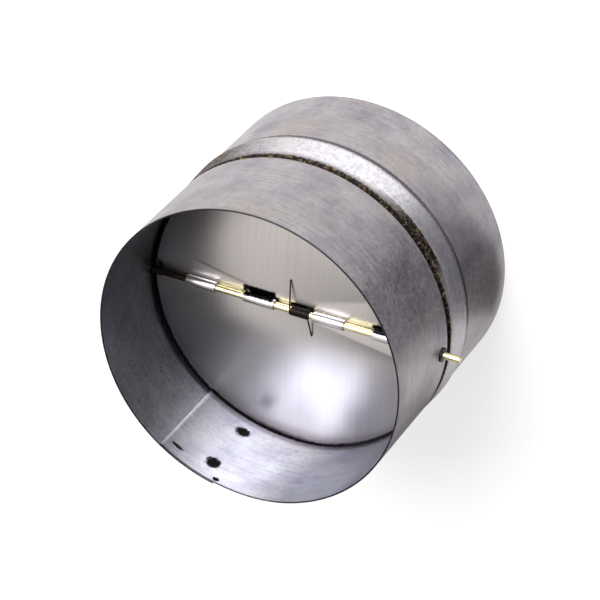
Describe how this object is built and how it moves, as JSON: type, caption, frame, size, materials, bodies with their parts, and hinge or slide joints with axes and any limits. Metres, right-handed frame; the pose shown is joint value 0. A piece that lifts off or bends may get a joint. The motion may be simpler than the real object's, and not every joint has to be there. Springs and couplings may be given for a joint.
{
  "type": "duct backdraft damper",
  "caption": "Spring-closed butterfly backdraft damper for round duct: rolled galvanised casing with a seat groove, hinge rod and half-round leaves on rolled knuckles.",
  "frame": {"origin": "centre of the inlet rim, on the plane that the damper stands on", "axes": "+Z is the direction of the air flow, from the inlet rim to the outlet rim; +X runs along the hinge rod; +Y is square to the rod, towards the upper leaf"},
  "size_m": [0.112, 0.1012, 0.08],
  "materials": {
    "galvanised_steel": "hot-dip galvanised sheet, rolled",
    "leaf_aluminium": "mill-finish sheet, punched and rolled",
    "rod_brass": "drawn bright rod",
    "bush_nylon": "moulded black nylon",
    "spring_wire": "oil-blackened spring wire"
  },
  "bodies": {
    "root": {"casing": "galvanised_steel", "hinge_rod": "rod_brass", "pivot_bush_right": "bush_nylon", "pivot_bush_left": "bush_nylon", "torsion_spring": "spring_wire"},
    "upper_leaf": {"upper_leaf": "leaf_aluminium"},
    "lower_leaf": {"lower_leaf": "leaf_aluminium"}
  },
  "joints": [
    {"name": "upper_leaf_hinge", "type": "hinge", "parent": "root", "child": "upper_leaf", "pos_m": [0, 0, 0.0484], "axis": [1, 0, 0], "range_deg": [0, 80], "stiffness_Nm_per_rad": 0.0015, "springref_deg": -57.3, "deforming": ["torsion_spring"]},
    {"name": "lower_leaf_hinge", "type": "hinge", "parent": "root", "child": "lower_leaf", "pos_m": [0, 0, 0.0484], "axis": [-1, 0, 0], "range_deg": [0, 80], "stiffness_Nm_per_rad": 0.0015, "springref_deg": -57.3, "deforming": ["torsion_spring"]}
  ]
}
